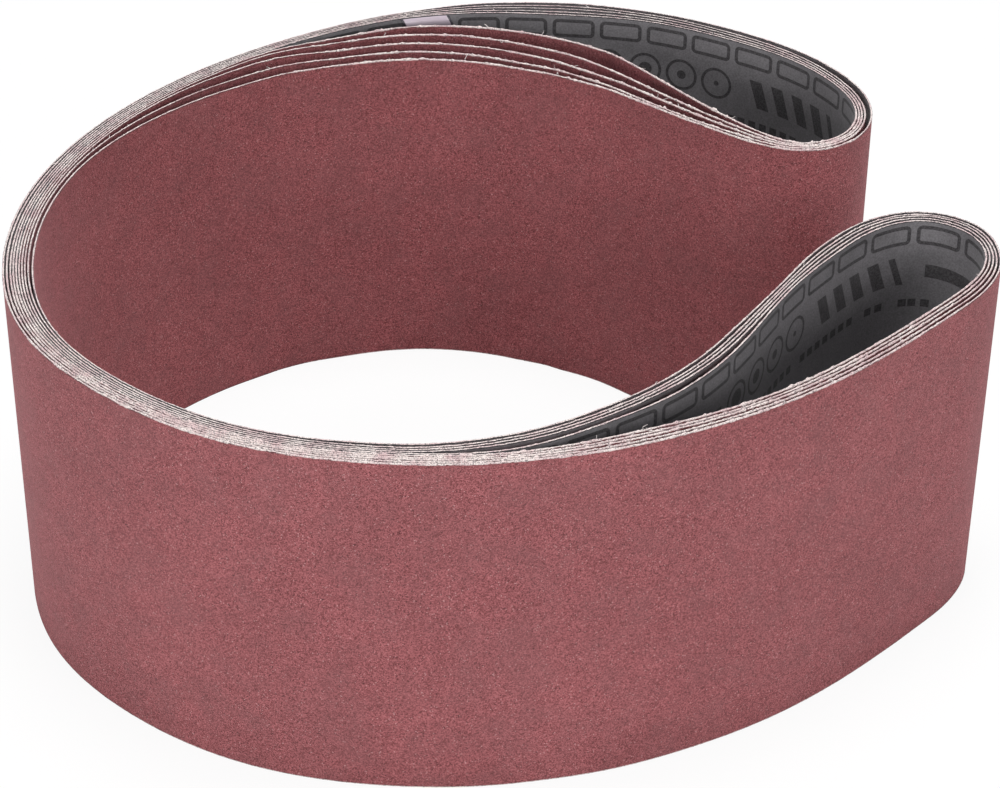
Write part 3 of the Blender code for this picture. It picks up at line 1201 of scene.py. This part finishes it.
@dataclass
class SpliceTape:
    """The film over a belt's splice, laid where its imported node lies."""

    number: int
    path: BeltPath
    solid: Object
    film_width: float = 20 * MM
    film_thickness: float = 0.12 * MM
    stand_off: float = 0.05 * MM
    columns: int = 12
    rows: int = 36
    # The film is trimmed by hand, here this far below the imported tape's upper end.
    trim: float = 0.0
    corners: np.ndarray = field(init=False)
    low: float = field(init=False)
    high: float = field(init=False)
    foot: float = field(init=False)
    lean: float = field(init=False)
    middle: float = field(init=False)

    def __post_init__(self) -> None:
        """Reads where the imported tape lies."""
        self.corners = np.array([vertex.co for vertex in self.solid.data.vertices])
        self.low, self.high = float(self.corners[:, 2].min()), float(self.corners[:, 2].max())
        self.foot, head = (self.middle_at(height) for height in (self.low, self.high))
        self.lean = (head - self.foot) / (self.high - self.low)
        self.middle = (self.foot + head) / 2

    def build(self, finish: Material) -> Object:
        """Builds the film.

        Args:
            finish: Its material.

        Returns:
            The piece.
        """
        low, high, foot, lean = self.low, self.high - self.trim, self.foot, self.lean
        slant_width = self.film_width * math.hypot(1, lean)
        shares = np.linspace(-0.5, 0.5, self.columns + 1)
        heights = np.linspace(low, high, self.rows + 1)
        share, height = (grid.ravel() for grid in np.meshgrid(shares, heights))
        distance = foot + lean * (height - low) + share * slant_width
        near = -self.stand_off / self.path.thickness
        far = near - self.film_thickness / self.path.thickness
        points = np.vstack([self.path.at(distance, near, height), self.path.at(distance, far, height)])
        across = self.columns + 1
        layer = across * (self.rows + 1)
        faces = []
        for row in range(self.rows):
            for column in range(self.columns):
                low_left = row * across + column
                quad = [low_left, low_left + 1, low_left + across + 1, low_left + across]
                faces += [quad, [layer + corner for corner in quad[::-1]]]
        border = list(range(across))
        border += [row * across + self.columns for row in range(1, self.rows + 1)]
        border += [self.rows * across + column for column in range(self.columns - 1, -1, -1)]
        border += [row * across for row in range(self.rows - 1, 0, -1)]
        for one, other in zip(border, border[1:] + border[:1]):
            faces.append([one, one + layer, other + layer, other])
        piece = new_piece(f"splice_film_{self.number}", points, faces, [finish])
        flat = np.column_stack([share * self.film_width / MM, height / MM])
        flat = np.vstack([flat, flat])
        order = [corner for face in faces for corner in face]
        piece.data.uv_layers.new(name="face").data.foreach_set("uv", flat[order].astype(np.float32).ravel())
        return piece

    def middle_at(self, height: float) -> float:
        """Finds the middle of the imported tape.

        Args:
            height: The height of its end.

        Returns:
            How far along the belt the middle lies there.
        """
        level = self.corners[np.abs(self.corners[:, 2] - height) < self.path.rim_depth]
        distances = np.array([self.path.distance_of(corner) for corner in level])
        return float((distances.min() + distances.max()) / 2)


@dataclass
class Studio:
    """White paper, large soft lamps and the camera at the photograph's angle."""

    focal_length: float = 107.2
    sensor_width: float = 36.0
    camera_place: tuple[float, float, float] = (-0.0006, -1.0195, 0.7568)
    look_down: float = math.radians(34.40)
    camera_roll: float = math.radians(0.46)
    paper_side: float = 6.0
    sky_level: float = 0.05
    # The lamps' names, places in metres and powers in watts.
    lamps: tuple[tuple[str, tuple[float, float, float], float], ...] = (
        ("left_lamp", (-1.4, -1.7, 0.68), 18.0),
        ("right_lamp", (1.3, -1.55, 1.0), 15.5),
        ("top_lamp", (0.0, 0.0, 2.1), 37.0),
        ("back_lamp", (0.1, 1.4, 1.5), 9.0),
    )
    lamp_side: float = 0.9

    def build(self) -> None:
        """Builds everything round the object."""
        self.paper()
        self.sky()
        for lamp in self.lamps:
            self.lamp(*lamp)
        self.camera()

    def paper(self) -> None:
        """Lays the paper under the object."""
        half = self.paper_side / 2
        corners = np.array([(-half, -half, 0), (half, -half, 0), (half, half, 0), (-half, half, 0)])
        sheet = new_piece("background_paper", corners, [[0, 1, 2, 3]], [SweepPaper().build()])

    def sky(self) -> None:
        """Surrounds the scene with a little even light, and with white where the paper ends."""
        world = bpy.data.worlds.new("studio_walls")
        bpy.context.scene.world = world
        world.use_nodes = True
        tree = world.node_tree
        direct = add_node(tree, "Math", {0: seen(tree), 1: 1 - self.sky_level}, operation="MULTIPLY")
        level = add_node(tree, "Math", {0: direct.outputs[0], 1: self.sky_level}, operation="ADD")
        background = tree.nodes["Background"]
        background.inputs["Color"].default_value = WHITE
        tree.links.new(level.outputs[0], background.inputs["Strength"])

    def lamp(self, name: str, place: tuple[float, float, float], power: float) -> None:
        """Hangs a square soft lamp that faces the object.

        Args:
            name: Its name.
            place: Where its middle hangs.
            power: Its power, in watts.
        """
        light = bpy.data.lights.new(name, "AREA")
        light.size = self.lamp_side
        light.energy = power
        lamp = bpy.data.objects.new(name, light)
        lamp.location = place
        lamp.rotation_euler = (-Vector(place)).to_track_quat("-Z", "Y").to_euler()
        bpy.context.scene.collection.objects.link(lamp)

    def camera(self) -> None:
        """Sets the camera."""
        lens = bpy.data.cameras.new("camera")
        lens.lens = self.focal_length
        lens.sensor_width = self.sensor_width
        camera = bpy.data.objects.new("camera", lens)
        turn = Matrix.Rotation(math.pi / 2 - self.look_down, 4, "X")
        turn @= Matrix.Rotation(self.camera_roll, 4, "Z")
        camera.matrix_world = Matrix.Translation(self.camera_place) @ turn
        bpy.context.scene.collection.objects.link(camera)
        bpy.context.scene.camera = camera


@dataclass
class BeltPack:
    """The five belts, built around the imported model."""

    frame: dict
    count: int = 5
    cloth_slot: str = "abrasive_cloth"
    tape_slot: str = "splice_tape"
    body: str = "root"
    # Each film is trimmed this much shorter than the one inside it.
    trim_step: float = 0.7 * MM

    def build(self) -> None:
        """Builds and dresses every belt, from the innermost to the outermost."""
        solids = self.frame["nodes"]
        paths = [BeltPath(solids[f"belt_{k + 1}"]) for k in range(self.count)]
        tapes = [
            SpliceTape(k + 1, path, solids[f"splice_tape_{k + 1}"], trim=k * self.trim_step)
            for k, path in enumerate(paths)
        ]
        finishes = {
            Surface.BARE: DressedDrill().build(),
            Surface.CUT: CutCotton().build(),
            Surface.GRIT: CoatedGrit(joint_lean=tapes[0].lean).build(),
        }
        thread = CottonThread().build()
        film = SpliceFilm().build()
        for number, (path, splice) in enumerate(zip(paths, tapes), start=1):
            node = f"belt_{number}"
            tape_node = f"splice_tape_{number}"
            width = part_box(node)[1].z
            belt = Belt(number, path, width, splice=splice.middle)
            cloth = belt.cloth(finishes)
            threads = belt.threads(thread)
            tape = splice.build(film)
            slots = ((cloth, self.cloth_slot), (threads, self.cloth_slot), (tape, self.tape_slot))
            for piece, slot in slots:
                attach(piece, self.body)
                LOG.info("%s: %d faces", piece.name, len(piece.data.polygons))
            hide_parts(node)
            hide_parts(tape_node)


def main() -> None:
    """Loads the frame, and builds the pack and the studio."""
    logging.basicConfig(level=logging.INFO, format="%(name)s: %(message)s")
    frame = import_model()
    bpy.context.scene.view_settings.view_transform = "Standard"
    BeltPack(frame).build()
    Studio().build()


if __name__ == "__main__":
    main()
